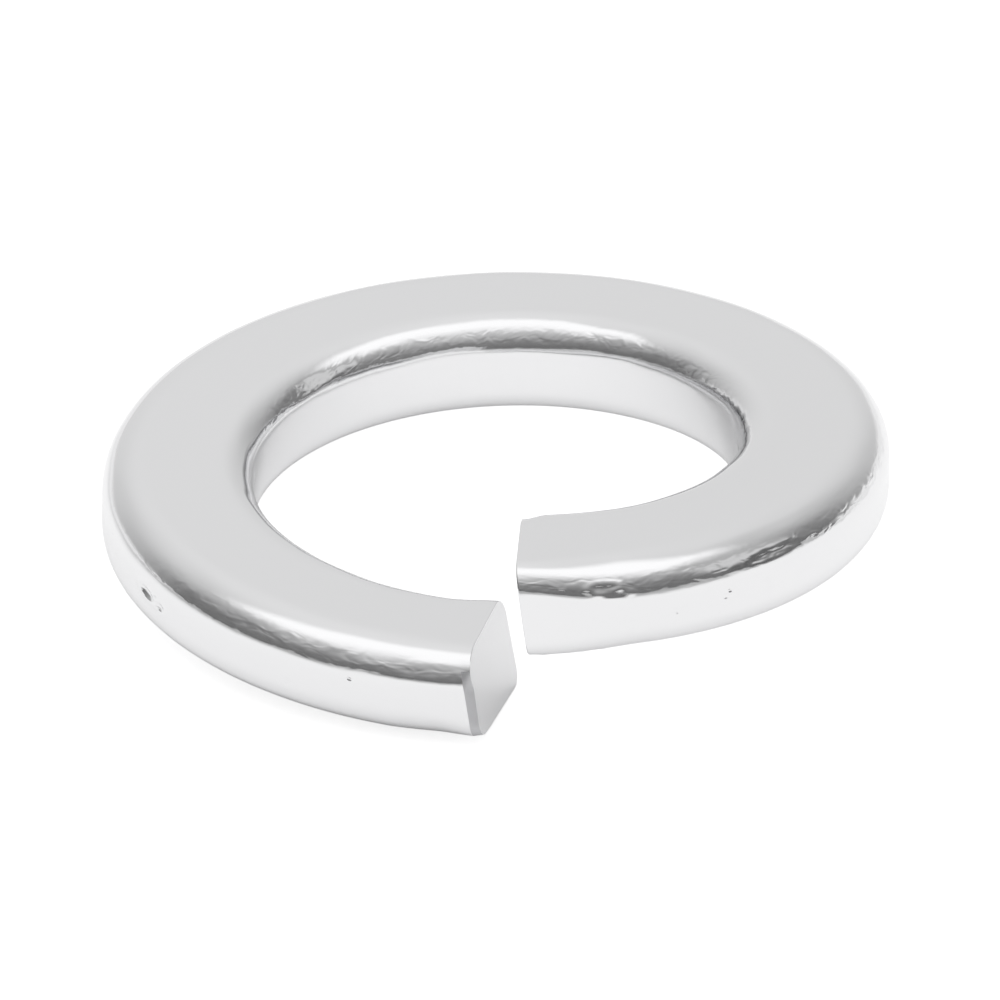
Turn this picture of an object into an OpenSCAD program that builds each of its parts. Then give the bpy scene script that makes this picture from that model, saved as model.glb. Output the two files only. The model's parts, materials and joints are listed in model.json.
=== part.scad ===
/* [Wire] */
// Diameter of the bore that the bolt passes through
bore_d = 16.5; // [16.2:0.1:17]
// Radial width of the flattened wire
wire_w = 5.15; // [4.8:0.05:5.4]
// Thickness of the flattened wire
wire_t = 3.4; // [3.1:0.05:3.8]
// Radius of the rounded edge between the top face and the outer wall
top_outer_r = 1.4; // [0.6:0.05:1.6]
// Radius of the rounded edge between the top face and the bore
top_inner_r = 1.15; // [0.6:0.05:1.6]
// Radius of the rounded edge between the bottom face and the outer wall
bottom_outer_r = 1; // [0.4:0.05:1.4]
// Radius of the rounded edge between the bottom face and the bore
bottom_inner_r = 0.75; // [0.4:0.05:1.4]

/* [Coil] */
// Rise of the coil over one full turn
coil_rise = 3.4; // [2:0.05:5]
// Direction in which the coil climbs; a left-hand coil locks a right-hand thread
coil_hand = "left"; // [left, right]

/* [Sheared ends] */
// Gap between the two cut faces, along the middle of the wire
end_gap = 1.07; // [0.9:0.05:3]
// Turn of the low end's cut from the radial line, seen from above
low_cut_skew = 13; // [6:0.5:16]
// Tilt of the low end's cut from upright
low_cut_lean = 9.5; // [0:0.5:12]
// Turn of the high end's cut from the radial line, seen from above
high_cut_skew = 8; // [4:0.5:16]
// Tilt of the high end's cut from upright
high_cut_lean = 8; // [0:0.5:12]

/* [Smoothness] */
// Steps of the sweep around the coil
coil_steps = 90; // [72:1:120]
// Steps of each rounded edge of the wire
edge_steps = 5; // [4:1:7]

/* [Hidden] */

bore_r = bore_d / 2;
outer_r = bore_r + wire_w;
middle_r = bore_r + wire_w / 2;

// The sweep runs past both round walls by this much, and two true cylinders then trim it.
wall_trim = 0.4;
// The sweep runs past both cuts by this much, and two shear blocks then trim it.
end_trim = 0.15;
// The rounded edges of the sweep stop this far short of the true walls, so that no chord crosses them.
edge_inset = 0.01;

// The gap is centred on the front of the coil, at -90 degrees.
front = -90;
half_gap_angle = asin(end_gap / 2 / middle_r);
coil_angle = 360 - 2 * half_gap_angle;

// Angle around the axis after a sweep of s degrees from the low end, clockwise seen from above
function world_angle(s) = front - half_gap_angle - s;

// Height that the coil has gained after a sweep of s degrees
function climb(s) = coil_rise * s / 360;

// A quarter arc of the wire's section: radius from the axis and height above the wire's underside
function edge_arc(r, z, edge_r, from) = [
    for (i = [0 : edge_steps])
    let (a = from + 90 * i / edge_steps)
    [r + edge_r * cos(a), z + edge_r * sin(a)]
];

// Section of the wire, counter-clockwise from the foot of the outer wall
wire_section =
    let (
        r_in = bore_r + edge_inset,
        r_out = outer_r - edge_inset,
        outer_foot = bottom_outer_r,
        outer_head = wire_t - top_outer_r,
        bore_foot = bottom_inner_r,
        bore_head = wire_t - top_inner_r
    )
    concat(
        [[outer_r + wall_trim, outer_foot], [outer_r + wall_trim, outer_head]],
        edge_arc(r_out - top_outer_r, outer_head, top_outer_r, 0),
        edge_arc(r_in + top_inner_r, bore_head, top_inner_r, 90),
        [[bore_r - wall_trim, bore_head], [bore_r - wall_trim, bore_foot]],
        edge_arc(r_in + bottom_inner_r, bore_foot, bottom_inner_r, 180),
        edge_arc(r_out - bottom_outer_r, outer_foot, bottom_outer_r, 270)
    );

// A cut is a plane through the middle of the wire: [sweep there, skew from radial, lean from upright].
low_cut = [0, low_cut_skew, low_cut_lean];
high_cut = [coil_angle, high_cut_skew, high_cut_lean];

// Sweep at which the section point p lies this far past a cut, along the coil. The cut is flat, and
// the coil bends and climbs past it, so the answer is found by closing in on it.
function cut_sweep(cut, p, past, tries = 6, s = 0) =
    tries == 0 ? cut[0] + s :
    let (
        inwards = middle_r - p[0] * cos(s),
        above = p[1] + climb(s) - wire_t / 2,
        along = past + above * tan(cut[2]) / cos(cut[1]) - inwards * tan(cut[1])
    )
    cut_sweep(cut, p, past, tries - 1, asin(along / p[0]));

// The coil stands on z = 0 at its lowest point, which is on the underside of the low end.
underside = [for (p = wire_section) if (p[1] < wire_t / 1000) p];
lowest_sweep = min([for (p = underside) cut_sweep(low_cut, p, 0)]);

// Point of the coil: section point p after a sweep of s degrees
function coil_point(p, s) = [
    p[0] * cos(world_angle(s)),
    p[0] * sin(world_angle(s)),
    p[1] + climb(s - lowest_sweep)
];

// The wire, swept with each ring of points between two mitred ends, a little longer than the cuts leave it
module swept_wire() {
    n = len(wire_section);
    starts = [for (p = wire_section) cut_sweep(low_cut, p, -end_trim)];
    ends = [for (p = wire_section) cut_sweep(high_cut, p, end_trim)];
    points = [
        for (k = [0 : coil_steps], i = [0 : n - 1])
        coil_point(wire_section[i], starts[i] + (ends[i] - starts[i]) * k / coil_steps)
    ];
    sides = [
        for (k = [0 : coil_steps - 1], i = [0 : n - 1])
        let (j = (i + 1) % n, a = k * n, b = (k + 1) * n)
        each [[a + j, a + i, b + i], [b + j, a + j, b + i]]
    ];
    low_face = [for (i = [0 : n - 1]) i];
    high_face = [for (i = [n - 1 : -1 : 0]) coil_steps * n + i];
    polyhedron(points, concat([low_face], sides, [high_face]), convexity = 6);
}

// The slice of metal that a cut takes off. Its face on the cut's plane is toward the coil: side is
// 1 where the gap lies to the right of the cut, seen from outside, and -1 where it lies to the left.
module shear_block(cut, side) {
    angle = world_angle(cut[0]);
    thickness = 2 * end_trim;
    width = 2 * wire_w;
    height = 2 * wire_t;
    translate([middle_r * cos(angle), middle_r * sin(angle), climb(cut[0] - lowest_sweep) + wire_t / 2])
    rotate([0, 0, angle - front - cut[1]])
    rotate([0, -cut[2], 0])
    translate([side * thickness / 2, 0, 0])
    cube([thickness, width, height], center = true);
}

// The wire with both of its ends sheared off flat
module sheared_wire() {
    difference() {
        swept_wire();
        shear_block(low_cut, 1);
        shear_block(high_cut, -1);
    }
}

// The coil's round walls are true cylinders, one around the wire and one through the bore.
module trimmed_coil() {
    reach = 2 * (wire_t + coil_rise);
    difference() {
        intersection() {
            sheared_wire();
            translate([0, 0, -reach / 2]) cylinder(h = 2 * reach, r = outer_r, $fn = 180);
        }
        translate([0, 0, -reach]) cylinder(h = 3 * reach, r = bore_r, $fn = 180);
    }
}

module spring_washer() {
    color("gainsboro")
    if (coil_hand == "left") {
        trimmed_coil();
    } else {
        mirror([1, 0, 0]) trimmed_coil();
    }
}

spring_washer();
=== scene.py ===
"""Spring lock washer, bright zinc plated, on a plain white table.

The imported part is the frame. One finer mesh stands for its only node: the same turn of flattened
wire, with the softened cut edges, the nicks and the pits of the real washer. Everything is in
metres, in the frame's own axes: +Z along the bore, the gap between the ends on -Y.
"""
import json
import logging
import math
from dataclasses import astuple, dataclass, field, replace
from enum import Enum
from typing import ClassVar

import bmesh
import bpy
from mathutils import Matrix, Vector, noise


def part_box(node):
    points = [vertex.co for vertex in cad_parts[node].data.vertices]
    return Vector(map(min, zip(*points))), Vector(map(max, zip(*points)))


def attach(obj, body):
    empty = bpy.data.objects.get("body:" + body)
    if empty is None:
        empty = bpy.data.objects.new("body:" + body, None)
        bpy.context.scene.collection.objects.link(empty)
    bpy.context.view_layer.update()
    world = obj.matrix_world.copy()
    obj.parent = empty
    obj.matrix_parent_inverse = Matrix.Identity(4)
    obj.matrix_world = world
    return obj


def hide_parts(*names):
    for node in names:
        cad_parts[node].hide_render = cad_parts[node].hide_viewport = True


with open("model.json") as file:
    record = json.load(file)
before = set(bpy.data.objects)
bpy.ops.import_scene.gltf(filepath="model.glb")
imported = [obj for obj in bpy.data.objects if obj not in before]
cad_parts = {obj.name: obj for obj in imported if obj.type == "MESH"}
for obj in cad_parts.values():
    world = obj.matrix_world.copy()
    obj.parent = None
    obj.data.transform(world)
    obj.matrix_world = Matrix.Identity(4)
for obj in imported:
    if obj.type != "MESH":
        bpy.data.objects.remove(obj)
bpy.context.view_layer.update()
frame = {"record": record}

MM = 0.001
MICRON = 0.001 * MM
NODE_NAME = "spring_washer"

log = logging.getLogger("spring_lock_washer")


def linear_rgba(hex_colour: str) -> tuple[float, float, float, float]:
    """Turns an sRGB hex colour into the linear colour that a shader socket holds.

    Args:
        hex_colour: The colour as written, such as "#EFEFF0".

    Returns:
        Red, green, blue and an alpha of 1.
    """
    parts = [int(hex_colour[i : i + 2], 16) / 255 for i in (1, 3, 5)]
    light = [c / 12.92 if c <= 0.04045 else ((c + 0.055) / 1.055) ** 2.4 for c in parts]
    return (light[0], light[1], light[2], 1.0)


def add_node(
    tree: bpy.types.NodeTree,
    kind: str,
    settings: dict[str, object] | None = None,
    links: dict[str | int, bpy.types.NodeSocket] | None = None,
) -> bpy.types.Node:
    """Adds one node to a tree, with its settings and its incoming links.

    Args:
        tree: The node tree of a material or of the world.
        kind: The node's type name.
        settings: Values by name. A name that is one of the node's properties is set there, and any
            other is the name or the number of an input socket.
        links: Output sockets by the name or number of the input that they go to.

    Returns:
        The new node.
    """
    node = tree.nodes.new(kind)
    for name, value in (settings or {}).items():
        if isinstance(name, str) and hasattr(node, name):
            setattr(node, name, value)
        else:
            node.inputs[name].default_value = value
    for name, socket in (links or {}).items():
        tree.links.new(socket, node.inputs[name])
    return node


def fill_ramp(bar: bpy.types.ColorRamp, stops: tuple[tuple[float, float], ...]) -> None:
    """Gives a new ramp its greys.

    Args:
        bar: The ramp, with its first two stops only.
        stops: Each stop's place and grey. The places run from 0 up to the last one's, which stands
            at the ramp's own end.
    """
    whole = stops[-1][0]
    for at, _ in stops[1:-1]:
        bar.elements.new(at / whole)
    for element, (at, grey) in zip(bar.elements, stops):
        element.position = at / whole
        element.color = (grey, grey, grey, 1.0)


class Stretch(Enum):
    """The eight stretches of the wire's section, in order round it from the foot of the outer wall."""

    OUTER_WALL = 0
    TOP_OUTER_EDGE = 1
    TOP_FACE = 2
    TOP_INNER_EDGE = 3
    INNER_WALL = 4
    BOTTOM_INNER_EDGE = 5
    UNDERSIDE = 6
    BOTTOM_OUTER_EDGE = 7


class Finish(Enum):
    """The washer's three finishes, in the order of its material slots."""

    PLATED = 0
    SHEARED = 1
    TORN = 2


@dataclass(frozen=True)
class PerEdge:
    """One length for each of the wire's four rounded edges, such as its radius, in metres."""

    top_outer: float
    top_inner: float
    bottom_inner: float
    bottom_outer: float

    def nearing(self, end: "PerEdge", reach: "PerEdge", distance: float) -> "PerEdge":
        """Gives the radii at a distance from a cut end.

        Args:
            end: The radii at the end itself.
            reach: How far from the end each of them has turned into the wire's own.
            distance: The distance from the end.

        Returns:
            The wire's own radii, the end's, or some of each.
        """
        mixed = []
        for own, last, within in zip(astuple(self), astuple(end), astuple(reach)):
            share = 1 - min(distance / within, 1.0)
            mixed.append(own + (last - own) * share * share * (3 - 2 * share))
        return PerEdge(*mixed)


@dataclass(frozen=True)
class SurfaceSpot:
    """A point of the wire's section, and the way that the surface faces there."""

    radius: float
    height: float
    facing_out: float
    facing_up: float

    def pushed(self, distance: float) -> "SurfaceSpot":
        """Gives the spot moved outwards by a distance."""
        return SurfaceSpot(
            self.radius + self.facing_out * distance,
            self.height + self.facing_up * distance,
            self.facing_out,
            self.facing_up,
        )


@dataclass(frozen=True)
class WireSection:
    """Section of the flattened wire: radius from the washer's axis, height above the underside."""

    bore_r: float
    outer_r: float
    thickness: float
    radii: PerEdge

    # How far past its two ends an arc still counts a point as its own
    ARC_SLACK_DEG: ClassVar[float] = 1e-3

    def corners(self) -> list[tuple[Stretch, float, float, float, float]]:
        """Lists the four rounded edges: stretch, arc's middle, its radius and its first direction."""
        r = self.radii
        high_outer, high_inner = self.thickness - r.top_outer, self.thickness - r.top_inner
        return [
            (Stretch.TOP_OUTER_EDGE, self.outer_r - r.top_outer, high_outer, r.top_outer, 0.0),
            (Stretch.TOP_INNER_EDGE, self.bore_r + r.top_inner, high_inner, r.top_inner, 90.0),
            (
                Stretch.BOTTOM_INNER_EDGE, self.bore_r + r.bottom_inner, r.bottom_inner,
                r.bottom_inner, 180.0,
            ),
            (
                Stretch.BOTTOM_OUTER_EDGE, self.outer_r - r.bottom_outer, r.bottom_outer,
                r.bottom_outer, 270.0,
            ),
        ]

    def sides(self) -> list[tuple[Stretch, tuple[float, float], tuple[float, float]]]:
        """Lists the four straight stretches: stretch, start and end, as radius and height."""
        r, top = self.radii, self.thickness
        return [
            (Stretch.OUTER_WALL, (self.outer_r, r.bottom_outer), (self.outer_r, top - r.top_outer)),
            (
                Stretch.TOP_FACE, (self.outer_r - r.top_outer, top),
                (self.bore_r + r.top_inner, top),
            ),
            (Stretch.INNER_WALL, (self.bore_r, top - r.top_inner), (self.bore_r, r.bottom_inner)),
            (
                Stretch.UNDERSIDE, (self.bore_r + r.bottom_inner, 0.0),
                (self.outer_r - r.bottom_outer, 0.0),
            ),
        ]

    def locate(self, radius: float, height: float) -> tuple[Stretch, float]:
        """Finds where a point of the section lies on it.

        Args:
            radius: The point's distance from the axis.
            height: The point's height above the underside.

        Returns:
            The stretch, and the share of that stretch which lies before the point.
        """
        for stretch, middle_r, middle_h, _, start in self.corners():
            turned = math.degrees(math.atan2(height - middle_h, radius - middle_r)) % 360 - start
            on_rim = math.hypot(height - middle_h, radius - middle_r) > self.radii.bottom_inner / 2
            if on_rim and -self.ARC_SLACK_DEG < turned < 90 + self.ARC_SLACK_DEG:
                return stretch, min(max(turned / 90, 0.0), 1.0)
        nearest = min(self.sides(), key=lambda side: self._distance(side, radius, height))
        stretch, start, end = nearest
        whole = math.dist(start, end)
        return stretch, math.dist(start, (radius, height)) / whole

    def _distance(
        self,
        side: tuple[Stretch, tuple[float, float], tuple[float, float]],
        radius: float,
        height: float,
    ) -> float:
        """How much longer the way from end to end of a side is through the point."""
        _, start, end = side
        point = (radius, height)
        return math.dist(start, point) + math.dist(end, point) - math.dist(start, end)

    def place(self, stretch: Stretch, share: float) -> SurfaceSpot:
        """Gives the spot at a share of a stretch."""
        for straight, start, end in self.sides():
            if straight is stretch:
                length = math.dist(start, end)
                along_r, along_h = (end[0] - start[0]) / length, (end[1] - start[1]) / length
                return SurfaceSpot(
                    start[0] + (end[0] - start[0]) * share,
                    start[1] + (end[1] - start[1]) * share,
                    along_h,
                    -along_r,
                )
        middle_r, middle_h, size, start = next(c[1:] for c in self.corners() if c[0] is stretch)
        turned = math.radians(start + 90 * share)
        out, up = math.cos(turned), math.sin(turned)
        return SurfaceSpot(middle_r + size * out, middle_h + size * up, out, up)

    def lengths(self) -> list[float]:
        """Lengths of the eight stretches, in order round the section."""
        found = {stretch: math.dist(start, end) for stretch, start, end in self.sides()}
        found |= {corner[0]: corner[3] * math.pi / 2 for corner in self.corners()}
        return [found[stretch] for stretch in Stretch]

    def girth(self, stretch: Stretch, share: float) -> float:
        """Distance round the section from the foot of the outer wall, in metres."""
        lengths = self.lengths()
        return sum(lengths[: stretch.value]) + lengths[stretch.value] * share


@dataclass(frozen=True)
class ShearCut:
    """One sheared end: a plane through the middle of the wire, turned and tilted from square."""

    sweep_deg: float
    skew_deg: float
    lean_deg: float

    # Rounds that close in on where a line meets the cut
    ROUNDS: ClassVar[int] = 6

    def sweep_at(self, radius: float, height: float, coil: "Coil") -> float:
        """Sweep at which a line of the wire's surface meets the cut.

        The cut is flat while the coil bends and climbs past it, so a few rounds close in on it.

        Args:
            radius: The line's distance from the axis.
            height: The line's height above the underside.
            coil: The coil that is cut.

        Returns:
            The sweep in degrees.
        """
        skew, lean = math.radians(self.skew_deg), math.radians(self.lean_deg)
        past = 0.0
        for _ in range(self.ROUNDS):
            inwards = coil.middle_r - radius * math.cos(math.radians(past))
            above = height + coil.rise * past / 360 - coil.section.thickness / 2
            along = above * math.tan(lean) / math.cos(skew) - inwards * math.tan(skew)
            past = math.degrees(math.asin(along / radius))
        return self.sweep_deg + past


@dataclass(frozen=True)
class Coil:
    """The left-hand turn that the wire makes, from its low end clockwise as seen from above."""

    section: WireSection
    rise: float
    end_gap: float
    low_skew_deg: float = 13.0
    low_lean_deg: float = 9.5
    high_skew_deg: float = 8.0
    high_lean_deg: float = 8.0
    front_deg: float = -90.0

    @property
    def middle_r(self) -> float:
        """Radius of the middle of the wire."""
        return (self.section.bore_r + self.section.outer_r) / 2

    @property
    def half_gap_deg(self) -> float:
        """Half of the angle that the gap takes up at the middle of the wire."""
        return math.degrees(math.asin(self.end_gap / 2 / self.middle_r))

    @property
    def turn_deg(self) -> float:
        """Sweep from the low cut to the high cut."""
        return 360 - 2 * self.half_gap_deg

    @property
    def low_cut(self) -> ShearCut:
        """The cut at the low end."""
        return ShearCut(0.0, self.low_skew_deg, self.low_lean_deg)

    @property
    def high_cut(self) -> ShearCut:
        """The cut at the high end."""
        return ShearCut(self.turn_deg, self.high_skew_deg, self.high_lean_deg)

    def lowest_sweep(self) -> float:
        """Sweep of the underside's lowest point, which stands on the table."""
        edges = [self.section.place(Stretch.UNDERSIDE, share) for share in (0.0, 1.0)]
        return min(self.low_cut.sweep_at(spot.radius, spot.height, self) for spot in edges)

    def angle(self, sweep_deg: float) -> float:
        """Angle round the axis after that sweep, in radians."""
        return math.radians(self.front_deg - self.half_gap_deg - sweep_deg)


@dataclass(frozen=True)
class Dent:
    """A nick in the wire, placed by the turn and by the girth of its middle.

    A negative depth raises a low ridge instead.
    """

    turn_deg: float
    girth: float
    length: float
    width: float
    depth: float
    slant_deg: float = 0.0
    raised_rim: float = 0.25

    # The dent's shape, in half lengths along it and half widths across it: the hollow's own size,
    # the middle of the rim around it and that rim's width
    HOLLOW: ClassVar[float] = 0.75
    RIM: ClassVar[float] = 1.25
    RIM_WIDTH: ClassVar[float] = 0.28
    # How far from its middle, in whole lengths, the dent can still be felt
    REACH: ClassVar[float] = 1.6

    def push(self, along: float, girth: float, middle_r: float) -> float:
        """How far the dent moves a point of the surface outwards.

        Args:
            along: The point's distance along the middle of the wire from the low end.
            girth: The point's distance round the section.
            middle_r: Radius of the middle of the wire.

        Returns:
            The distance, negative inwards, or 0 outside the dent.
        """
        ahead = along - math.radians(self.turn_deg) * middle_r
        if abs(ahead) > self.length * self.REACH:
            return 0.0
        slant = math.radians(self.slant_deg)
        aside = girth - self.girth
        long_way = (ahead * math.cos(slant) + aside * math.sin(slant)) / (self.length / 2)
        short_way = (aside * math.cos(slant) - ahead * math.sin(slant)) / (self.width / 2)
        out = math.hypot(long_way, short_way)
        hollow = -self.depth * math.exp(-((out / self.HOLLOW) ** 4))
        from_rim = (out - self.RIM) / self.RIM_WIDTH
        rim = self.depth * self.raised_rim * math.exp(-(from_rim ** 2))
        return hollow + rim


@dataclass(frozen=True)
class RolledUnevenness:
    """The slight waves that rolling and coiling leave in the wire, mostly in its rounded edges."""

    depth: float = 0.012 * MM
    length: float = 1.9 * MM
    width: float = 0.55 * MM
    # All but the two upper edges has only this share of the waves.
    flat_share: float = 0.125
    # The bore's upper edge has broader waves of its own as well.
    inner_edge_depth: float = 0.02 * MM
    inner_edge_length: float = 2.6 * MM
    inner_edge_width: float = 0.88 * MM

    # Layers of the noise that the two kinds of wave are read from
    LAYER: ClassVar[float] = 3.1
    INNER_EDGE_LAYER: ClassVar[float] = 8.7

    def push(self, along: float, girth: float, stretch: Stretch) -> float:
        """How far the waves move a point of the surface outwards, in metres."""
        rounded = stretch in (Stretch.TOP_OUTER_EDGE, Stretch.TOP_INNER_EDGE)
        depth = self.depth if rounded else self.depth * self.flat_share
        wave = depth * noise.noise(Vector((along / self.length, girth / self.width, self.LAYER)))
        if stretch is Stretch.TOP_INNER_EDGE:
            across = girth / self.inner_edge_width
            place = Vector((along / self.inner_edge_length, across, self.INNER_EDGE_LAYER))
            wave += self.inner_edge_depth * noise.noise(place)
        return wave


@dataclass(frozen=True)
class CutEnd:
    """How the shear left one end: its own edge radii, and how the surface breaks over into the cut.

    The surface rolls over all round the cut by a hair. Where the blade came out, on the outer wall,
    it tore a flat strip off the corner, which is deepest at the top of the wall.
    """

    radii: PerEdge
    reach: PerEdge
    roll: float
    torn_width: float = 0.0
    torn_depth: float = 0.0
    # Shares of that depth where the strip starts, under the wall, and at the wall's foot; it is whole
    # at the wall's head, and from there its share fades this fast over the rounded edge
    torn_at_start: float = 0.15
    torn_at_foot: float = 0.6
    torn_fade: float = 2.6

    def torn_share(self, stretch: Stretch, share: float) -> float:
        """How much of the torn strip's full depth there is at a place on the section."""
        if stretch is Stretch.OUTER_WALL:
            return self.torn_at_foot + (1 - self.torn_at_foot) * share
        if stretch is Stretch.BOTTOM_OUTER_EDGE:
            return self.torn_at_start + (self.torn_at_foot - self.torn_at_start) * share
        if stretch is Stretch.TOP_OUTER_EDGE:
            return max(0.0, 1 - self.torn_fade * share)
        return 0.0

    def push(self, stretch: Stretch, share: float, distance: float) -> float:
        """How far the surface lies inside its own line near the cut.

        Args:
            stretch: The stretch of the section.
            share: The share of that stretch which lies before the place.
            distance: The distance from the cut.

        Returns:
            The distance inwards, or 0 where the cut leaves the surface alone.
        """
        inwards = 0.0
        if distance < self.roll:
            inwards = self.roll * (1 - math.sqrt(1 - (1 - distance / self.roll) ** 2))
        if distance < self.torn_width:
            depth = self.torn_depth * self.torn_share(stretch, share)
            inwards = max(inwards, depth * (1 - distance / self.torn_width))
        return inwards


@dataclass(frozen=True)
class WireLine:
    """One line of the wire's surface, from end to end at one place on the section.

    Body is the line's spot away from the ends, and the sweeps are those at which it meets the cuts.
    """

    stretch: Stretch
    share: float
    girth: float
    body: SurfaceSpot
    first_sweep: float
    last_sweep: float


@dataclass
class SpringWasher:
    """The washer: one length of flattened wire, coiled one turn and sheared off at both ends."""

    wire_thickness: float = 3.4 * MM
    coil_rise: float = 3.4 * MM
    end_gap: float = 1.07 * MM
    radii: PerEdge = PerEdge(
        top_outer=1.4 * MM, top_inner=1.15 * MM, bottom_inner=0.75 * MM, bottom_outer=1.0 * MM
    )
    # Coiling draws the wire thinner along its outer wall: turn in degrees, lift of the wall's foot
    thinning: tuple[tuple[float, float], ...] = (
        (0.0, 0.3 * MM), (6.0, 0.26 * MM), (14.0, 0.17 * MM), (60.0, 0.13 * MM), (85.0, 0.05 * MM),
        (300.0, 0.05 * MM), (325.0, 0.09 * MM), (338.0, 0.11 * MM), (348.0, 0.03 * MM), (360.0, 0.0),
    )
    # Steps of the top outer, top inner, bottom inner and bottom outer edge
    edge_steps: tuple[int, int, int, int] = (22, 16, 9, 12)
    # Steps of the outer wall, the top face, the inner wall and the underside
    side_steps: tuple[int, int, int, int] = (12, 20, 9, 6)
    # Zones along the wire, each with its count of rings: a short one at each end, and between them
    # three longer ones, which part at these turns
    end_reach: float = 0.25 * MM
    zone_borders_deg: tuple[float, ...] = (100.0, 262.0)
    zone_rings: tuple[int, ...] = (12, 270, 190, 270, 12)
    # Width of the crisp rim around each cut face
    cut_rim: float = 0.03 * MM
    low_end: CutEnd = CutEnd(
        radii=PerEdge(
            top_outer=1.3 * MM, top_inner=0.88 * MM, bottom_inner=0.5 * MM, bottom_outer=0.7 * MM
        ),
        reach=PerEdge(
            top_outer=2.2 * MM, top_inner=2.2 * MM, bottom_inner=1.0 * MM, bottom_outer=1.4 * MM
        ),
        roll=0.012 * MM, torn_width=0.25 * MM, torn_depth=0.3 * MM,
    )
    high_end: CutEnd = CutEnd(
        radii=PerEdge(
            top_outer=0.95 * MM, top_inner=1.6 * MM, bottom_inner=0.5 * MM, bottom_outer=0.75 * MM
        ),
        reach=PerEdge(
            top_outer=3.0 * MM, top_inner=1.1 * MM, bottom_inner=1.0 * MM, bottom_outer=3.2 * MM
        ),
        roll=0.04 * MM,
    )
    unevenness: RolledUnevenness = RolledUnevenness()
    marks: tuple[Dent, ...] = (
        # The gouge on the outer wall, left of the gap, and the torn metal after it
        Dent(58.8, 0.6 * MM, 0.85 * MM, 0.4 * MM, 0.085 * MM, slant_deg=12, raised_rim=0.45),
        Dent(55.3, 0.47 * MM, 0.5 * MM, 0.32 * MM, 0.06 * MM, slant_deg=10, raised_rim=0.4),
        # The oval nick under the highlight at the high end, with its thrown-up rim
        Dent(341.6, 1.62 * MM, 0.8 * MM, 0.28 * MM, 0.035 * MM, slant_deg=-3, raised_rim=0.9),
        Dent(340.4, 1.38 * MM, 0.9 * MM, 0.14 * MM, 0.026 * MM, slant_deg=-5, raised_rim=0.8),
        # The long flat where the wire was rolled thin, to the right of the nick
        Dent(313.0, 1.62 * MM, 2.4 * MM, 0.34 * MM, 0.03 * MM, slant_deg=-2, raised_rim=0.3),
        # The low ridge that rolling left along the border of the top face, on the right
        Dent(312.0, 2.62 * MM, 6.4 * MM, 0.34 * MM, -0.01 * MM, raised_rim=0.0),
        # The ridge that the shear raised along the highlight at the low end
        Dent(5.2, 1.98 * MM, 2.2 * MM, 0.42 * MM, -0.016 * MM, raised_rim=0.0),
        # The upright scratch and the two small nicks on the right of the outer wall
        Dent(314.6, 0.6 * MM, 0.2 * MM, 0.5 * MM, 0.05 * MM),
        Dent(322.7, 0.57 * MM, 0.3 * MM, 0.2 * MM, 0.05 * MM),
        Dent(331.1, 0.44 * MM, 0.24 * MM, 0.2 * MM, 0.05 * MM),
        Dent(29.2, 0.15 * MM, 0.16 * MM, 0.26 * MM, 0.05 * MM),
        # The long shallow knock in the bore's upper edge, at the back on the left
        Dent(131.5, 6.95 * MM, 3.4 * MM, 0.5 * MM, 0.022 * MM, raised_rim=0.35),
        # Faint knocks on the top face and along its inner edge
        Dent(95.0, 3.35 * MM, 0.5 * MM, 0.4 * MM, 0.006 * MM),
        Dent(81.3, 5.6 * MM, 0.5 * MM, 0.35 * MM, 0.008 * MM),
        Dent(40.5, 5.3 * MM, 0.7 * MM, 0.35 * MM, 0.008 * MM),
        Dent(339.3, 5.55 * MM, 1.1 * MM, 0.25 * MM, 0.014 * MM),
        Dent(66.0, 3.9 * MM, 0.6 * MM, 0.3 * MM, 0.005 * MM, slant_deg=35),
        # The worn spots along the foot of the wall
        Dent(351.8, 14.2 * MM, 0.3 * MM, 0.2 * MM, 0.04 * MM),
        Dent(344.3, 14.25 * MM, 0.5 * MM, 0.18 * MM, 0.04 * MM),
        Dent(335.9, 14.55 * MM, 0.4 * MM, 0.18 * MM, 0.035 * MM, slant_deg=8),
    )
    coil: Coil = field(init=False)
    lowest: float = field(init=False)
    length: float = field(init=False)

    def __post_init__(self) -> None:
        """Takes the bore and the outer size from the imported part."""
        low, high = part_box(NODE_NAME)
        bore = next(m for m in frame["record"]["mounts"] if m["name"] == "bore")
        section = WireSection(
            bore_r=bore["dims"]["r_mm"] * MM,
            outer_r=(high.x - low.x) / 2,
            thickness=self.wire_thickness,
            radii=self.radii,
        )
        self.coil = Coil(section=section, rise=self.coil_rise, end_gap=self.end_gap)
        self.lowest = self.coil.lowest_sweep()
        self.length = self.coil.middle_r * math.radians(self.coil.turn_deg)

    def build(self) -> bpy.types.Object:
        """Models the washer.

        Returns:
            The finished piece, at the origin, with its place in its mesh.
        """
        made = bmesh.new()
        self._draw_section(made)
        self._pull_straight_wire(made)
        lines = self._read_lines(made)
        self._map_surface(made, lines)
        self._tell_torn_strip(made, lines)
        self._coil_up(made, lines)
        self._close_ends(made)
        self._sharpen_borders(made)
        mesh = bpy.data.meshes.new("zinc_plated_washer")
        made.to_mesh(mesh)
        made.free()
        mesh.shade_smooth()
        piece = bpy.data.objects.new("zinc_plated_washer", mesh)
        bpy.context.scene.collection.objects.link(piece)
        return piece

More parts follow.
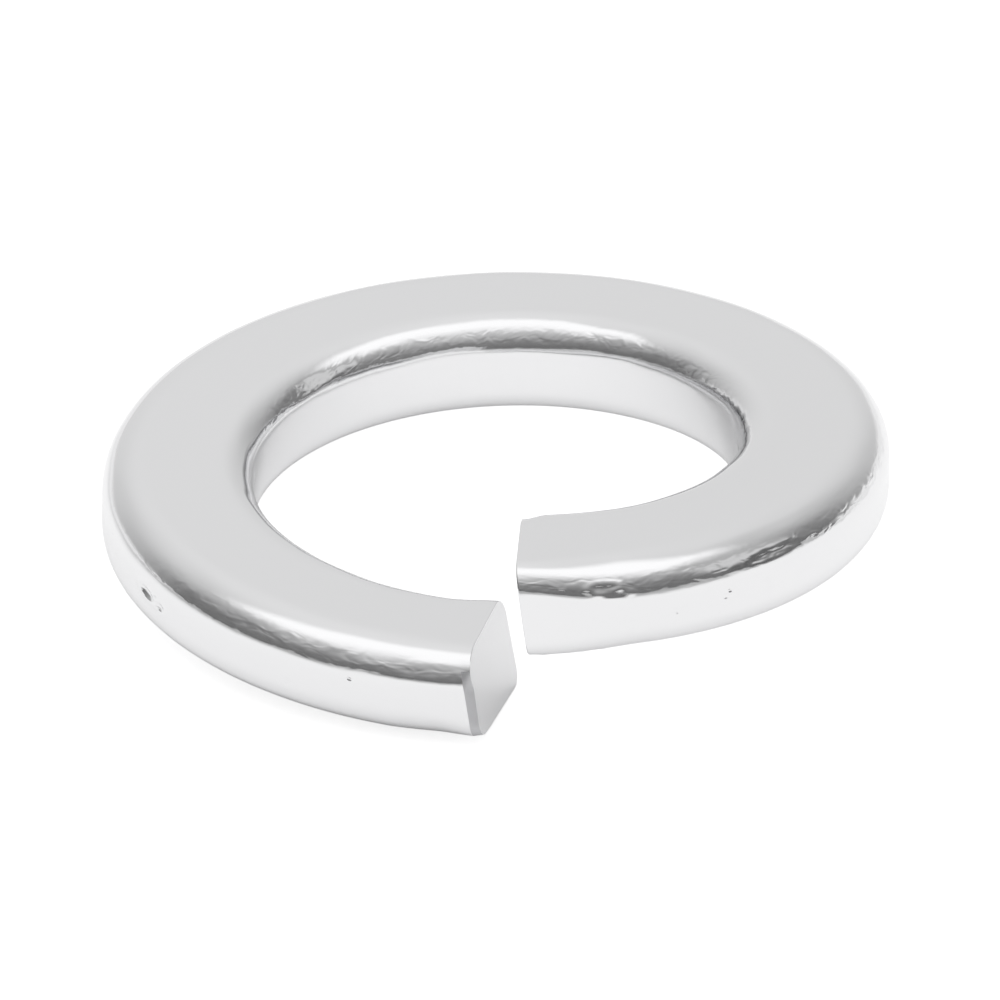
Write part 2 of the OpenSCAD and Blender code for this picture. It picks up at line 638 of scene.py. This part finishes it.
    def _draw_section(self, made: bmesh.types.BMesh) -> None:
        """Draws the wire's section as a rectangle with rounded corners and divided sides."""
        section = self.coil.section
        radii, steps = section.radii, self.edge_steps
        corners = [
            (section.outer_r, section.thickness, radii.top_outer, steps[0]),
            (section.bore_r, section.thickness, radii.top_inner, steps[1]),
            (section.bore_r, 0.0, radii.bottom_inner, steps[2]),
            (section.outer_r, 0.0, radii.bottom_outer, steps[3]),
        ]
        points = [made.verts.new((radius, 0.0, height)) for radius, height, _, _ in corners]
        made.faces.new(points)
        for point, (_, _, edge_r, segments) in zip(points, corners):
            bmesh.ops.bevel(
                made, geom=[point], offset=edge_r, offset_type="OFFSET", segments=segments,
                profile=0.5, affect="VERTICES", clamp_overlap=False, material=-1,
            )
        bmesh.ops.delete(made, geom=list(made.faces), context="FACES_ONLY")
        shortest_side = section.thickness - radii.top_outer - radii.bottom_outer
        # The steps of the rounded edges are far shorter than the shortest side.
        straight = [e for e in made.edges if e.calc_length() > shortest_side / 2]
        for edge in straight:
            middle = (edge.verts[0].co + edge.verts[1].co) / 2
            stretch, _ = section.locate(middle.x, middle.z)
            pieces = self.side_steps[stretch.value // 2]
            bmesh.ops.subdivide_edges(made, edges=[edge], cuts=pieces - 1)

    def _pull_straight_wire(self, made: bmesh.types.BMesh) -> None:
        """Pulls the section out into a straight wire along +Y, ringed more closely where it matters."""
        pulled = bmesh.ops.extrude_edge_only(made, edges=list(made.edges))
        far = [item for item in pulled["geom"] if isinstance(item, bmesh.types.BMVert)]
        bmesh.ops.translate(made, verts=far, vec=(0.0, self.length, 0.0))
        borders = [0.0, self.end_reach]
        borders += [self.coil.middle_r * math.radians(turn) for turn in self.zone_borders_deg]
        borders += [self.length - self.end_reach, self.length]
        count = len(self.zone_rings)
        lengthwise = self._lengthwise_edges(made)
        bmesh.ops.subdivide_edges(made, edges=lengthwise, cuts=count - 1, use_grid_fill=True)
        for vert in made.verts:
            vert.co.y = borders[round(vert.co.y / self.length * count)]
        for start, end, rings in zip(borders, borders[1:], self.zone_rings):
            middle = (start + end) / 2
            inside = [
                e for e in self._lengthwise_edges(made)
                if min(v.co.y for v in e.verts) < middle < max(v.co.y for v in e.verts)
            ]
            bmesh.ops.subdivide_edges(made, edges=inside, cuts=rings - 1, use_grid_fill=True)

    def _lengthwise_edges(self, made: bmesh.types.BMesh) -> list[bmesh.types.BMEdge]:
        """Lists the edges of the straight wire that run along it."""
        return [e for e in made.edges if abs(e.verts[0].co.y - e.verts[1].co.y) > MICRON]

    def _read_lines(self, made: bmesh.types.BMesh) -> dict[tuple[float, float], WireLine]:
        """Reads the lines of the straight wire, and finds where each one meets the two cuts.

        Args:
            made: The straight wire.

        Returns:
            The lines, by the radius and height that they have on the straight wire.
        """
        section, lines = self.coil.section, {}
        ends = [
            (self.low_end, replace(section, radii=self.low_end.radii), self.coil.low_cut),
            (self.high_end, replace(section, radii=self.high_end.radii), self.coil.high_cut),
        ]
        for vert in made.verts:
            key = self._line_key(vert)
            if key in lines:
                continue
            stretch, share = section.locate(vert.co.x, vert.co.z)
            sweeps = []
            for end, end_section, cut in ends:
                spot = end_section.place(stretch, share).pushed(-end.push(stretch, share, 0.0))
                height = spot.height + self._thinning_at(spot, cut.sweep_deg)
                sweeps.append(cut.sweep_at(spot.radius, height, self.coil))
            lines[key] = WireLine(
                stretch, share, section.girth(stretch, share), section.place(stretch, share), *sweeps
            )
        return lines

    def _line_key(self, vert: bmesh.types.BMVert) -> tuple[float, float]:
        """Name of the line that a vertex of the straight wire is on."""
        return round(vert.co.x / MM, 4), round(vert.co.z / MM, 4)

    def _coil_up(
        self, made: bmesh.types.BMesh, lines: dict[tuple[float, float], WireLine]
    ) -> None:
        """Bends the straight wire into the coil, and gives its surface its marks."""
        for vert in made.verts:
            line, along = lines[self._line_key(vert)], vert.co.y
            spot = self._spot_near_end(line, along)
            push = self.unevenness.push(along, line.girth, line.stretch)
            for mark in self.marks:
                push += mark.push(along, line.girth, self.coil.middle_r)
            spot = spot.pushed(push * self._away_from_ends(along))
            sweep = line.first_sweep + (line.last_sweep - line.first_sweep) * along / self.length
            angle = self.coil.angle(sweep)
            lift = self.coil.rise * (sweep - self.lowest) / 360
            lift += self._thinning_at(spot, math.degrees(along / self.coil.middle_r))
            vert.co = Vector(
                (spot.radius * math.cos(angle), spot.radius * math.sin(angle), spot.height + lift)
            )

    def _thinning_at(self, spot: SurfaceSpot, turn_deg: float) -> float:
        """How far a spot is lifted where the wire is thinner: most at the foot of the outer wall.

        Args:
            spot: The spot on the section.
            turn_deg: The turn from the low end.

        Returns:
            The lift, in metres.
        """
        section = self.coil.section
        outwards = (spot.radius - section.bore_r) / (section.outer_r - section.bore_r)
        downwards = 1 - spot.height / section.thickness
        for (before, first), (after, last) in zip(self.thinning, self.thinning[1:]):
            if turn_deg <= after:
                share = (turn_deg - before) / (after - before)
                return (first + (last - first) * share) * outwards * downwards
        return self.thinning[-1][1] * outwards * downwards

    def _away_from_ends(self, along: float) -> float:
        """Share of the surface's marks that shows here: none on the cut edges themselves."""
        return min(1.0, min(along, self.length - along) / self.end_reach)

    def _spot_near_end(self, line: WireLine, along: float) -> SurfaceSpot:
        """Gives a line's spot on the section, with the nearer end's radii and roll-over mixed in."""
        end, distance = self.low_end, along
        if along > self.length / 2:
            end, distance = self.high_end, self.length - along
        if distance >= max(astuple(end.reach)):
            return line.body
        radii = self.coil.section.radii.nearing(end.radii, end.reach, distance)
        spot = replace(self.coil.section, radii=radii).place(line.stretch, line.share)
        return spot.pushed(-end.push(line.stretch, line.share, distance))

    def _map_surface(
        self, made: bmesh.types.BMesh, lines: dict[tuple[float, float], WireLine]
    ) -> None:
        """Gives the straight wire a UV map: along it and round the section, both in millimetres."""
        layer = made.loops.layers.uv.new("wire")
        whole = sum(self.coil.section.lengths())
        for face in made.faces:
            girths = [lines[self._line_key(loop.vert)].girth for loop in face.loops]
            wraps = max(girths) - min(girths) > whole / 2
            for loop, girth in zip(face.loops, girths):
                girth = girth + whole if wraps and girth < whole / 2 else girth
                loop[layer].uv = (loop.vert.co.y / MM, girth / MM)

    def _tell_torn_strip(
        self, made: bmesh.types.BMesh, lines: dict[tuple[float, float], WireLine]
    ) -> None:
        """Gives the torn strip beside the low end's cut the torn finish."""
        for face in made.faces:
            along = sum(vert.co.y for vert in face.verts) / len(face.verts)
            if along > self.low_end.torn_width:
                continue
            places = [lines[self._line_key(vert)] for vert in face.verts]
            if min(self.low_end.torn_share(line.stretch, line.share) for line in places) > 0:
                face.material_index = Finish.TORN.value

    def _sharpen_borders(self, made: bmesh.types.BMesh) -> None:
        """Makes a crisp edge of each border between two finishes."""
        for edge in made.edges:
            if len({face.material_index for face in edge.link_faces}) > 1:
                edge.smooth = False

    def _close_ends(self, made: bmesh.types.BMesh) -> None:
        """Closes both ends with a flat sheared face, in the sheared finish."""
        open_edges = [e for e in made.edges if e.is_boundary]
        filled = bmesh.ops.holes_fill(made, edges=open_edges, sides=0)["faces"]
        bmesh.ops.recalc_face_normals(made, faces=list(made.faces))
        rims = bmesh.ops.inset_individual(made, faces=filled, thickness=self.cut_rim)["faces"]
        for face in filled + rims:
            face.material_index = Finish.SHEARED.value


@dataclass(frozen=True)
class ZincPlate:
    """Bright zinc electroplate on smooth rolled spring steel.

    The plate is a near mirror, so the eye reads it from what it reflects. The rolls leave faint
    streaks along the wire, mostly in its upper edges, which break a reflection up into short
    patches. The outer wall has a few pin-head pits.
    """

    colour: str = "#EFEFF0"
    roughness: float = 0.12
    streak_length_mm: float = 0.55
    streak_width_mm: float = 0.3
    streak_depth_mm: float = 0.03
    pit_spacing_mm: float = 1.2
    pit_size_mm: float = 0.1
    pit_depth_mm: float = 0.05
    # The pits end at this girth, a little past the head of the outer wall.
    pitted_girth_mm: float = 1.1
    # How much of the streaks shows along the wire: share of its length, share of the streaks
    streak_along: tuple[tuple[float, float], ...] = (
        (0.0, 1.0), (0.12, 1.0), (0.18, 0.12), (0.3, 0.12), (0.34, 1.0), (1.0, 1.0),
    )
    # Length of the wire's middle line, as the UV map has it
    wire_length_mm: float = 67.4
    # How much of the streaks shows at each place round the section: girth in mm, share
    streak_share: tuple[tuple[float, float], ...] = (
        (0.0, 0.12), (1.32, 0.12), (1.5, 1.0), (1.8, 1.0), (2.0, 0.35), (2.5, 0.05), (4.6, 0.05),
        (5.4, 0.12), (6.55, 0.15), (6.85, 0.8), (7.1, 0.8), (7.3, 0.12), (9.1, 0.12), (15.2, 0.12),
    )

    def material(self) -> bpy.types.Material:
        """Makes the plate's material.

        Returns:
            A material that reads the piece's own UV map, in millimetres.
        """
        made = bpy.data.materials.new("bright_zinc_plate")
        made.use_nodes = True
        tree = made.node_tree
        tree.nodes.clear()
        place = add_node(tree, "ShaderNodeUVMap", {"uv_map": "wire"})
        along = add_node(
            tree, "ShaderNodeMapping",
            {"Scale": (1 / self.streak_length_mm, 1 / self.streak_width_mm, 1.0)},
            {"Vector": place.outputs["UV"]},
        )
        streaks = add_node(
            tree, "ShaderNodeTexNoise",
            {"Scale": 1.0, "Detail": 1.0, "Roughness": 0.5, "Distortion": 0.5},
            {"Vector": along.outputs["Vector"]},
        )
        round_section = add_node(
            tree, "ShaderNodeSeparateXYZ", None, {"Vector": place.outputs["UV"]}
        )
        shares = []
        for axis, size, stops in (
            ("Y", self.streak_share[-1][0], self.streak_share),
            ("X", self.wire_length_mm, self.streak_along),
        ):
            at = add_node(
                tree, "ShaderNodeMath", {"operation": "DIVIDE", 1: size},
                {0: round_section.outputs[axis]},
            )
            share = add_node(tree, "ShaderNodeValToRGB", None, {"Fac": at.outputs["Value"]})
            fill_ramp(share.color_ramp, stops)
            shares.append(share.outputs["Color"])
        shown = add_node(
            tree, "ShaderNodeMath", {"operation": "MULTIPLY"}, {0: shares[0], 1: shares[1]}
        )
        on_outer_wall = add_node(
            tree, "ShaderNodeMath", {"operation": "LESS_THAN", 1: self.pitted_girth_mm},
            {0: round_section.outputs["Y"]},
        )
        scattered = add_node(
            tree, "ShaderNodeTexVoronoi", {"Scale": 1 / self.pit_spacing_mm},
            {"Vector": place.outputs["UV"]},
        )
        pits = add_node(
            tree, "ShaderNodeMapRange",
            {
                "interpolation_type": "SMOOTHSTEP",
                "From Min": 0.0, "From Max": self.pit_size_mm / self.pit_spacing_mm,
            },
            {"Value": scattered.outputs["Distance"]},
        )
        pitted = add_node(
            tree, "ShaderNodeBump", {"Distance": self.pit_depth_mm * MM},
            {"Height": pits.outputs["Result"], "Strength": on_outer_wall.outputs["Value"]},
        )
        bump = add_node(
            tree, "ShaderNodeBump", {"Distance": self.streak_depth_mm * MM},
            {
                "Height": streaks.outputs["Fac"],
                "Strength": shown.outputs["Value"],
                "Normal": pitted.outputs["Normal"],
            },
        )
        plate = add_node(
            tree, "ShaderNodeBsdfPrincipled",
            {
                "Base Color": linear_rgba(self.colour),
                "Metallic": 1.0,
                "Roughness": self.roughness,
            },
            {"Normal": bump.outputs["Normal"]},
        )
        add_node(tree, "ShaderNodeOutputMaterial", None, {"Surface": plate.outputs["BSDF"]})
        return made


@dataclass(frozen=True)
class ScoredZincPlate:
    """Zinc electroplate where the blade cut or tore the steel: duller, scored the way it went."""

    name: str
    colour: str
    roughness: float
    score_width_mm: float
    score_length_mm: float
    score_depth_mm: float
    score_detail: float
    score_sharpness: float

    def material(self) -> bpy.types.Material:
        """Makes the finish's material, whose scores run up and down."""
        made = bpy.data.materials.new(self.name)
        made.use_nodes = True
        tree = made.node_tree
        tree.nodes.clear()
        place = add_node(tree, "ShaderNodeTexCoord")
        fine, long_way = 1 / (self.score_width_mm * MM), 1 / (self.score_length_mm * MM)
        across = add_node(
            tree, "ShaderNodeMapping", {"Scale": (fine, fine, long_way)},
            {"Vector": place.outputs["Object"]},
        )
        scores = add_node(
            tree, "ShaderNodeTexNoise",
            {"Scale": 1.0, "Detail": self.score_detail, "Roughness": self.score_sharpness},
            {"Vector": across.outputs["Vector"]},
        )
        bump = add_node(
            tree, "ShaderNodeBump", {"Strength": 1.0, "Distance": self.score_depth_mm * MM},
            {"Height": scores.outputs["Fac"]},
        )
        plate = add_node(
            tree, "ShaderNodeBsdfPrincipled",
            {
                "Base Color": linear_rgba(self.colour),
                "Metallic": 1.0,
                "Roughness": self.roughness,
            },
            {"Normal": bump.outputs["Normal"]},
        )
        add_node(tree, "ShaderNodeOutputMaterial", None, {"Surface": plate.outputs["BSDF"]})
        return made


# The cut faces are smooth but duller than the wire, with faint scores.
SHEARED_ZINC_PLATE = ScoredZincPlate(
    name="sheared_zinc_plate", colour="#EBEBEC", roughness=0.24, score_width_mm=0.12,
    score_length_mm=2.5, score_depth_mm=0.004, score_detail=2.0, score_sharpness=0.5,
)
# Where the blade broke out of the wire the plate is matt and grainy.
TORN_ZINC_PLATE = ScoredZincPlate(
    name="torn_zinc_plate", colour="#CFCFD1", roughness=0.5, score_width_mm=0.07,
    score_length_mm=0.5, score_depth_mm=0.02, score_detail=3.0, score_sharpness=0.6,
)


@dataclass(frozen=True)
class PhotoCamera:
    """A long lens that looks down on the washer from the side of its gap."""

    azimuth_deg: float = -2.66
    elevation_deg: float = 27.25
    roll_deg: float = 0.71
    lens_mm: float = 850.0
    sensor_mm: float = 36.0
    image_px: float = 1000.0
    px_per_mm: float = 29.376
    axis_px: tuple[float, float] = (495.7, 478.9)
    aim_height: float = 3.4604 * MM

    def place(self) -> None:
        """Adds the camera and makes it the scene's."""
        elevation, roll = math.radians(self.elevation_deg), math.radians(self.roll_deg)
        level, upright = Vector((1, 0, 0)), Vector((0, math.sin(elevation), math.cos(elevation)))
        right = level * math.cos(roll) + upright * math.sin(roll)
        up = upright * math.cos(roll) - level * math.sin(roll)
        back = right.cross(up)
        distance = self.lens_mm / self.sensor_mm * self.image_px / self.px_per_mm * MM
        off_x = (self.image_px / 2 - self.axis_px[0]) / self.px_per_mm * MM
        off_y = (self.axis_px[1] - self.image_px / 2) / self.px_per_mm * MM
        aim = right * off_x + up * off_y
        turned = Matrix((right, up, back)).transposed().to_4x4()
        turned.translation = aim + back * distance
        around = Matrix.Rotation(math.radians(self.azimuth_deg), 4, "Z")
        lift = Matrix.Translation((0, 0, self.aim_height))
        data = bpy.data.cameras.new("photo_camera")
        data.lens = self.lens_mm
        data.sensor_width = self.sensor_mm
        data.clip_start, data.clip_end = distance / 10, distance * 10
        camera = bpy.data.objects.new("photo_camera", data)
        camera.matrix_world = lift @ around @ turned
        bpy.context.scene.collection.objects.link(camera)
        bpy.context.scene.camera = camera


@dataclass(frozen=True)
class SoftPanel:
    """A lit or a dark panel with soft edges, on a level ceiling or an upright wall of the studio.

    Its edges are given in shares of the distance to that ceiling or wall, and so is the softness of
    its sides, its low edge and its high edge.
    """

    left: float
    right: float
    low: float
    high: float
    softness: tuple[float, float, float]
    light: float

    def share(
        self,
        tree: bpy.types.NodeTree,
        level: bpy.types.NodeSocket,
        upright: bpy.types.NodeSocket,
    ) -> bpy.types.NodeSocket:
        """Works out how much of the panel is seen at each direction.

        Args:
            tree: The world's node tree.
            level: The place across the panel.
            upright: The place up the panel.

        Returns:
            A socket that is 1 on the panel and 0 off it.
        """
        edges = []
        for place, edge, soft in (
            (level, self.left, self.softness[0]),
            (level, self.right, -self.softness[0]),
            (upright, self.low, self.softness[1]),
            (upright, self.high, -self.softness[2]),
        ):
            edges.append(
                add_node(
                    tree, "ShaderNodeMapRange",
                    {
                        "interpolation_type": "SMOOTHSTEP",
                        "From Min": edge - soft, "From Max": edge + soft,
                    },
                    {"Value": place},
                )
            )
        seen = edges[0].outputs[0]
        for edge in edges[1:]:
            both = add_node(
                tree, "ShaderNodeMath", {"operation": "MULTIPLY"}, {0: seen, 1: edge.outputs[0]}
            )
            seen = both.outputs[0]
        return seen


@dataclass(frozen=True)
class Studio:
    """A white table top in a pale studio, under one broad soft lamp; in the plate the table shows a
    painted pool of light round the washer.

    A pale wall stands behind the washer and the dim room is in front of it, so the plate shows light
    faces, dark lower edges and bright upper edges. Brightness 1 is white.
    """

    # The lamp overhead, and to the right a window with a dark gap under it
    lamp: SoftPanel = SoftPanel(-0.88, 0.88, -0.47, 0.22, (0.3, 0.36, 0.14), 1.14)
    side_window: SoftPanel = SoftPanel(-0.42, 0.16, 0.36, 0.72, (0.09, 0.1, 0.1), 0.68)
    side_gap: SoftPanel = SoftPanel(-0.36, -0.04, 0.05, 0.24, (0.1, 0.05, 0.05), 0.13)
    # The room's brightness from the horizon to straight up: height of the direction, brightness
    room_light: tuple[tuple[float, float], ...] = (
        (0.0, 0.15), (0.15, 0.19), (0.35, 0.25), (0.55, 0.40), (0.75, 0.57), (1.0, 0.85),
    )
    # The wall behind the washer, a little to its left, and how it fades into the room at its sides
    wall_light: float = 0.87
    wall_lean: float = 0.132
    wall_fade: tuple[float, float] = (0.2, 1.15)
    # The benches: what is seen under the horizon, and on the far side up to a little over it
    bench_light: float = 0.16
    bench_fade: float = 0.06
    far_bench_light: float = 0.76
    far_bench_top: float = 0.055
    far_bench_softness: float = 0.03
    far_bench_fade: tuple[float, float] = (0.25, 0.55)
    # The table top: its glow to the camera, and its glow in the plate, a painted pool of light that
    # ends at this radius round this middle
    floor_half_size: float = 600 * MM
    floor_colour: str = "#D8D8D8"
    floor_glow: float = 0.77
    floor_mirror_light: float = 0.52
    painted_pool_radius: float = 46 * MM
    painted_pool_fade: float = 14 * MM
    painted_pool_middle: tuple[float, float] = (14 * MM, 0.0)
    # Painted light: beyond the washer the plate sees the table top lit further out, from the first
    # place to the last
    far_side: tuple[float, float] = (4 * MM, 30 * MM)
    painted_far_light: float = 0.42
    # Painted shade: the plate sees the table top's glow darker where the washer covers it: how far off
    # the washer still counts, and the shares of open sky at which that glow is black and fully lit
    contact_reach: float = 6.0 * MM
    painted_contact_shade: tuple[float, float] = (0.0, 0.58)
    contact_samples: int = 2
    # Directions that point less than this toward a panel count as this, so that none divides by 0.
    least_distance: float = 0.001

    def light(self, azimuth_deg: float) -> None:
        """Makes the world: the lamp, the wall, the window and the room, by direction.

        Args:
            azimuth_deg: The way that the camera faces, which the studio is square to.
        """
        world = bpy.data.worlds.new("white_studio")
        bpy.context.scene.world = world
        world.use_nodes = True
        tree = world.node_tree
        tree.nodes.clear()
        way = add_node(tree, "ShaderNodeTexCoord")
        square = add_node(
            tree, "ShaderNodeMapping", {"Rotation": (0.0, 0.0, -math.radians(azimuth_deg))},
            {"Vector": way.outputs["Generated"]},
        )
        parts = add_node(tree, "ShaderNodeSeparateXYZ", None, {0: square.outputs["Vector"]})
        around = self._surroundings(tree, parts)
        around = self._hang(tree, self.lamp, around, parts, "Z", "X", "Y")
        around = self._hang(tree, self.side_window, around, parts, "X", "Y", "Z")
        around = self._hang(tree, self.side_gap, around, parts, "X", "Y", "Z")
        path = add_node(tree, "ShaderNodeLightPath")
        seen = add_node(
            tree, "ShaderNodeMix", {"data_type": "RGBA", 7: (1.0, 1.0, 1.0, 1.0)},
            {0: path.outputs["Is Camera Ray"], 6: around},
        )
        shown = add_node(tree, "ShaderNodeBackground", None, {"Color": seen.outputs[2]})
        add_node(tree, "ShaderNodeOutputWorld", None, {"Surface": shown.outputs[0]})

    def _surroundings(
        self, tree: bpy.types.NodeTree, parts: bpy.types.Node
    ) -> bpy.types.NodeSocket:
        """Mixes the dim room into the pale wall that stands behind the washer."""
        ramp = add_node(tree, "ShaderNodeValToRGB", None, {0: parts.outputs["Z"]})
        fill_ramp(ramp.color_ramp, self.room_light)
        flat = add_node(
            tree, "ShaderNodeCombineXYZ", None,
            {"X": parts.outputs["X"], "Y": parts.outputs["Y"]},
        )
        level = add_node(
            tree, "ShaderNodeVectorMath", {"operation": "NORMALIZE"}, {0: flat.outputs[0]}
        )
        facing = add_node(
            tree, "ShaderNodeVectorMath", {"operation": "DOT_PRODUCT", 1: (-self.wall_lean, 1.0, 0.0)},
            {0: level.outputs["Vector"]},
        )
        behind = add_node(
            tree, "ShaderNodeMapRange",
            {"From Min": self.wall_fade[0], "From Max": self.wall_fade[1]},
            {"Value": facing.outputs["Value"]},
        )
        wall = self.wall_light
        mixed = add_node(
            tree, "ShaderNodeMix", {"data_type": "RGBA", 7: (wall, wall, wall, 1.0)},
            {0: behind.outputs[0], 6: ramp.outputs[0]},
        )
        below = add_node(
            tree, "ShaderNodeMapRange",
            {"From Min": -self.bench_fade, "From Max": 0.0, "To Min": 1.0, "To Max": 0.0},
            {"Value": parts.outputs["Z"]},
        )
        bench = self.bench_light
        whole = add_node(
            tree, "ShaderNodeMix", {"data_type": "RGBA", 7: (bench, bench, bench, 1.0)},
            {0: below.outputs[0], 6: mixed.outputs[2]},
        )
        turned_up = add_node(
            tree, "ShaderNodeMapRange",
            {
                "interpolation_type": "SMOOTHSTEP",
                "From Min": self.far_bench_top + self.far_bench_softness,
                "From Max": self.far_bench_top - self.far_bench_softness,
            },
            {"Value": parts.outputs["Z"]},
        )
        far_side = add_node(
            tree, "ShaderNodeMapRange",
            {"From Min": self.far_bench_fade[0], "From Max": self.far_bench_fade[1]},
            {"Value": parts.outputs["Y"]},
        )
        far_bench = add_node(
            tree, "ShaderNodeMath", {"operation": "MULTIPLY"},
            {0: turned_up.outputs[0], 1: far_side.outputs[0]},
        )
        far = self.far_bench_light
        surroundings = add_node(
            tree, "ShaderNodeMix", {"data_type": "RGBA", 7: (far, far, far, 1.0)},
            {0: far_bench.outputs[0], 6: whole.outputs[2]},
        )
        return surroundings.outputs[2]

    def _hang(
        self,
        tree: bpy.types.NodeTree,
        panel: SoftPanel,
        behind: bpy.types.NodeSocket,
        parts: bpy.types.Node,
        away: str,
        level: str,
        upright: str,
    ) -> bpy.types.NodeSocket:
        """Hangs a panel in front of what is there.

        Args:
            tree: The world's node tree.
            panel: The panel.
            behind: The light of what is behind it.
            parts: The node that splits the direction.
            away: The axis on which the panel is at a distance of 1.
            level: The axis across the panel.
            upright: The axis up the panel.

        Returns:
            The light of both.
        """
        distance = add_node(
            tree, "ShaderNodeMath", {"operation": "MAXIMUM", 1: self.least_distance},
            {0: parts.outputs[away]},
        )
        places = [
            add_node(
                tree, "ShaderNodeMath", {"operation": "DIVIDE"},
                {0: parts.outputs[axis], 1: distance.outputs[0]},
            )
            for axis in (level, upright)
        ]
        share = panel.share(tree, places[0].outputs[0], places[1].outputs[0])
        light = panel.light
        both = add_node(
            tree, "ShaderNodeMix", {"data_type": "RGBA", 7: (light, light, light, 1.0)},
            {0: share, 6: behind},
        )
        return both.outputs[2]

    def lay_floor(self) -> None:
        """Lays the white table top that the washer lies on."""
        made = bmesh.new()
        bmesh.ops.create_grid(made, x_segments=1, y_segments=1, size=self.floor_half_size)
        mesh = bpy.data.meshes.new("white_table")
        made.to_mesh(mesh)
        made.free()
        floor = bpy.data.objects.new("white_table", mesh)
        bpy.context.scene.collection.objects.link(floor)
        mesh.materials.append(self._floor_material())

    def _floor_material(self) -> bpy.types.Material:
        """White table top: white to the camera, dimmer in the plate, with a painted pool of light round
        the washer and painted shade where it is covered.

        From below it is clear, so that the underside of the washer can be looked at through it.
        """
        made = bpy.data.materials.new("white_card")
        made.use_nodes = True
        tree = made.node_tree
        tree.nodes.clear()
        path = add_node(tree, "ShaderNodeLightPath")
        place = add_node(tree, "ShaderNodeTexCoord")
        aside = add_node(
            tree, "ShaderNodeMapping",
            {"Location": (-self.painted_pool_middle[0], -self.painted_pool_middle[1], 0.0)},
            {"Vector": place.outputs["Object"]},
        )
        out = add_node(
            tree, "ShaderNodeVectorMath", {"operation": "LENGTH"}, {0: aside.outputs["Vector"]}
        )
        # Painted pool of light: the glow in the plate fades out round the washer.
        lit = add_node(
            tree, "ShaderNodeMapRange",
            {
                "interpolation_type": "SMOOTHSTEP",
                "From Min": self.painted_pool_radius + self.painted_pool_fade,
                "From Max": self.painted_pool_radius - self.painted_pool_fade,
                "To Min": 0.0, "To Max": self.floor_mirror_light,
            },
            {"Value": out.outputs["Value"]},
        )
        across = add_node(
            tree, "ShaderNodeSeparateXYZ", None, {"Vector": place.outputs["Object"]}
        )
        # Painted light: the glow in the plate grows brighter further out beyond the washer.
        far_lit = add_node(
            tree, "ShaderNodeMapRange",
            {
                "From Min": self.far_side[0], "From Max": self.far_side[1],
                "To Min": 0.0, "To Max": self.painted_far_light,
            },
            {"Value": across.outputs["Y"]},
        )
        brighter = add_node(
            tree, "ShaderNodeMath", {"operation": "MAXIMUM"},
            {0: lit.outputs[0], 1: far_lit.outputs[0]},
        )
        # Painted shade: ambient occlusion darkens the glow in the plate under and beside the washer.
        open_sky = add_node(
            tree, "ShaderNodeAmbientOcclusion",
            {"samples": self.contact_samples, "Distance": self.contact_reach},
        )
        uncovered = add_node(
            tree, "ShaderNodeMapRange",
            {"From Min": self.painted_contact_shade[0], "From Max": self.painted_contact_shade[1]},
            {"Value": open_sky.outputs["AO"]},
        )
        reaching = add_node(
            tree, "ShaderNodeMath", {"operation": "MULTIPLY"},
            {0: brighter.outputs[0], 1: uncovered.outputs[0]},
        )
        mirrored = add_node(
            tree, "ShaderNodeMath", {"operation": "MULTIPLY"},
            {0: path.outputs["Is Glossy Ray"], 1: reaching.outputs[0]},
        )
        viewed = add_node(
            tree, "ShaderNodeMath", {"operation": "MAXIMUM"},
            {0: path.outputs["Is Camera Ray"], 1: path.outputs["Is Transmission Ray"]},
        )
        direct = add_node(
            tree, "ShaderNodeMath", {"operation": "MULTIPLY", 1: self.floor_glow},
            {0: viewed.outputs[0]},
        )
        glow = add_node(
            tree, "ShaderNodeMath", {"operation": "ADD"},
            {0: direct.outputs[0], 1: mirrored.outputs[0]},
        )
        card = add_node(
            tree, "ShaderNodeBsdfPrincipled",
            {
                "Base Color": linear_rgba(self.floor_colour),
                "Roughness": 1.0,
                "Specular IOR Level": 0.0,
                "Emission Color": (1.0, 1.0, 1.0, 1.0),
            },
            {"Emission Strength": glow.outputs[0]},
        )
        under = add_node(tree, "ShaderNodeNewGeometry")
        clear = add_node(tree, "ShaderNodeBsdfTransparent")
        shown = add_node(
            tree, "ShaderNodeMixShader", None,
            {0: under.outputs["Backfacing"], 1: card.outputs["BSDF"], 2: clear.outputs[0]},
        )
        add_node(tree, "ShaderNodeOutputMaterial", None, {"Surface": shown.outputs[0]})
        return made


def main() -> None:
    """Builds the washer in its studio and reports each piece."""
    logging.basicConfig(level=logging.INFO, format="%(name)s: %(message)s")
    camera = PhotoCamera()
    camera.place()
    studio = Studio()
    studio.light(camera.azimuth_deg)
    studio.lay_floor()
    washer = SpringWasher().build()
    for finish in (ZincPlate(), SHEARED_ZINC_PLATE, TORN_ZINC_PLATE):
        washer.data.materials.append(finish.material())
    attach(washer, "root")
    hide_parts(NODE_NAME)
    log.info("%s has %d faces", washer.name, len(washer.data.polygons))
    bpy.context.scene.view_settings.view_transform = "Standard"


if __name__ == "__main__":
    main()
